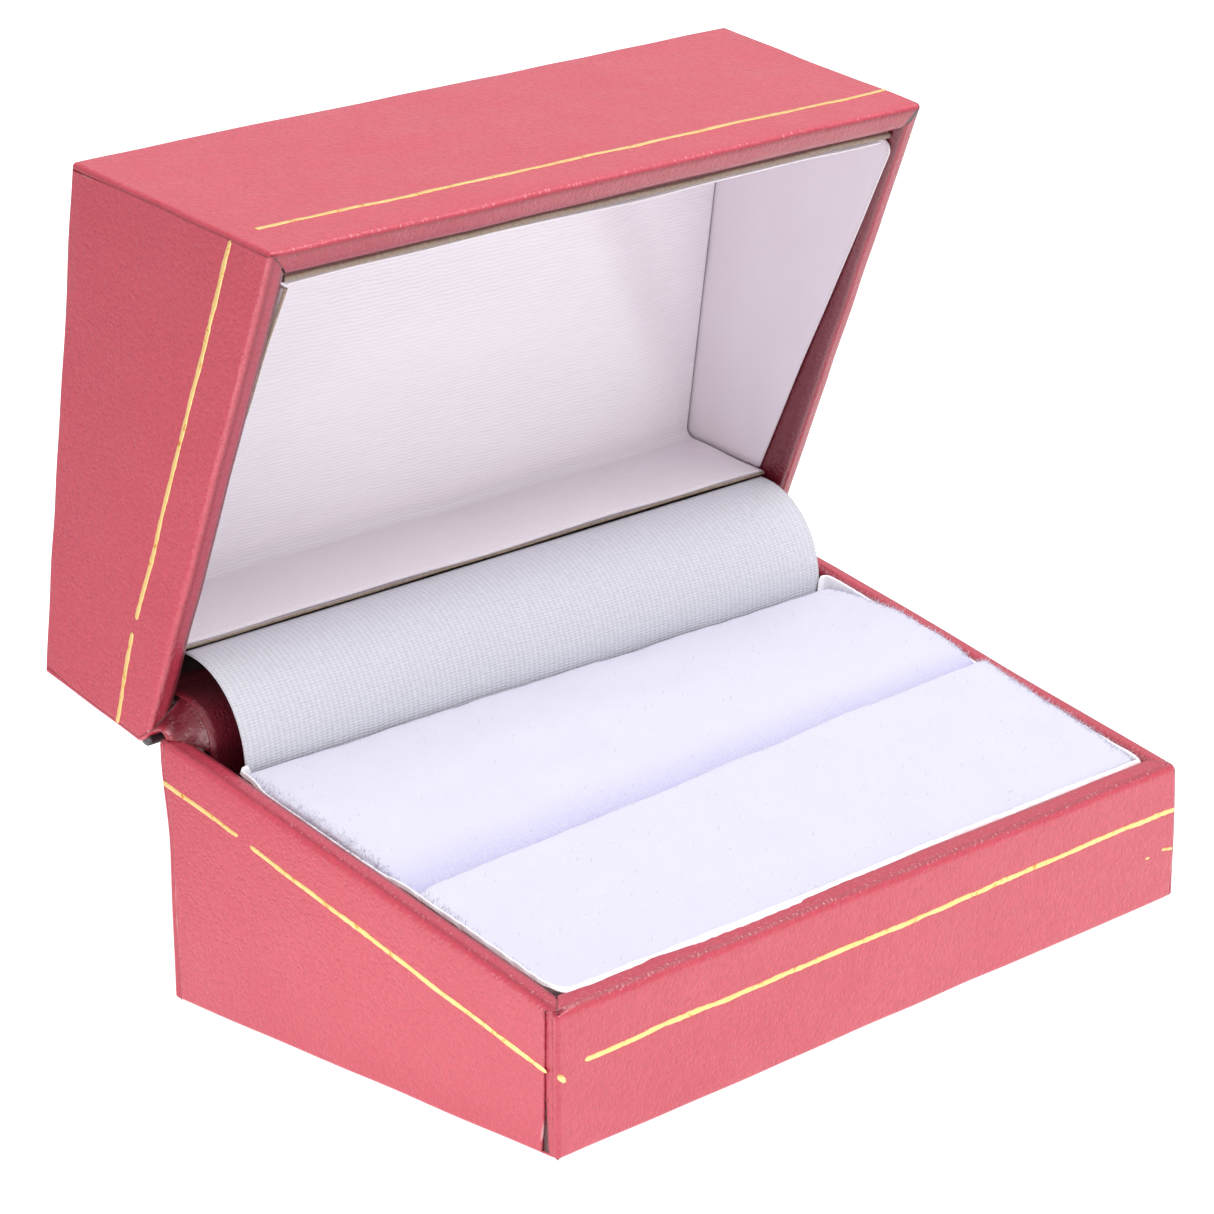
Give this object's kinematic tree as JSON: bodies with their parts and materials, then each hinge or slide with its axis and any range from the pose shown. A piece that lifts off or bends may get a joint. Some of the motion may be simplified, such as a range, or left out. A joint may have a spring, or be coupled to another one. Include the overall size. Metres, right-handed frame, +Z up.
{
  "type": "jewelry box",
  "caption": "Wedge-shaped ring presentation box in leatherette, with a hinged satin-lined lid and a split velvet pad that grips rings.",
  "frame": {"origin": "middle of the flat underside of the base", "axes": "+X along the hinge to the right as seen from the front, +Y to the back where the hinge is, +Z up; the lid is stored open at its stop"},
  "size_m": [0.08, 0.0648, 0.0739],
  "materials": {
    "leatherette": "red paper-backed leatherette, fine pebble grain, satin gloss",
    "greyboard": "raw greyboard",
    "liner_card": "white-faced card with a grey-brown cut edge",
    "satin": "white ribbed satin with a faint pink cast",
    "apron_satin": "white coarse satin weave",
    "velvet": "white flocked velvet with a lavender shade",
    "foam": "open-cell foam and wadding",
    "hinge_steel": "dark spring steel strip",
    "gold_foil": "hot-stamped gold foil line"
  },
  "bodies": {
    "base": {"base_tray": "greyboard", "base_front_wrap": "leatherette", "base_left_wrap": "leatherette", "base_right_wrap": "leatherette", "base_back_wrap": "leatherette", "base_bottom_sheet": "leatherette", "pad_riser": "liner_card", "pad_card": "liner_card", "pad_satin_edging": "satin", "front_foam": "foam", "rear_foam": "foam", "front_velvet_pad": "velvet", "rear_velvet_pad": "velvet", "hinge_base_leaf": "hinge_steel", "hinge_pin": "hinge_steel", "hinge_cover_strip": "leatherette", "snap_spring": "hinge_steel", "satin_apron": "apron_satin", "base_rivet_1": "hinge_steel", "base_rivet_2": "hinge_steel", "base_rivet_3": "hinge_steel", "base_front_gold_line": "gold_foil", "base_left_gold_line": "gold_foil", "base_right_gold_line": "gold_foil"},
    "lid": {"lid_tray": "greyboard", "lid_front_wrap": "leatherette", "lid_left_wrap": "leatherette", "lid_right_wrap": "leatherette", "lid_back_wrap": "leatherette", "lid_top_sheet": "leatherette", "liner_card": "liner_card", "liner_wadding": "foam", "liner_satin": "satin", "liner_front_flap": "liner_card", "liner_back_flap": "liner_card", "liner_left_flap": "liner_card", "liner_right_flap": "liner_card", "hinge_lid_leaf": "hinge_steel", "lid_rivet_1": "hinge_steel", "lid_rivet_2": "hinge_steel", "lid_rivet_3": "hinge_steel", "lid_front_gold_line": "gold_foil", "lid_left_gold_line": "gold_foil", "lid_right_gold_line": "gold_foil"}
  },
  "joints": [
    {"name": "lid_hinge", "type": "hinge", "parent": "base", "child": "lid", "pos_m": [0, 0.025, 0.0234], "axis": [1, 0, 0], "range_deg": [0, 81.5], "deforming": ["satin_apron", "hinge_cover_strip", "snap_spring"]}
  ]
}
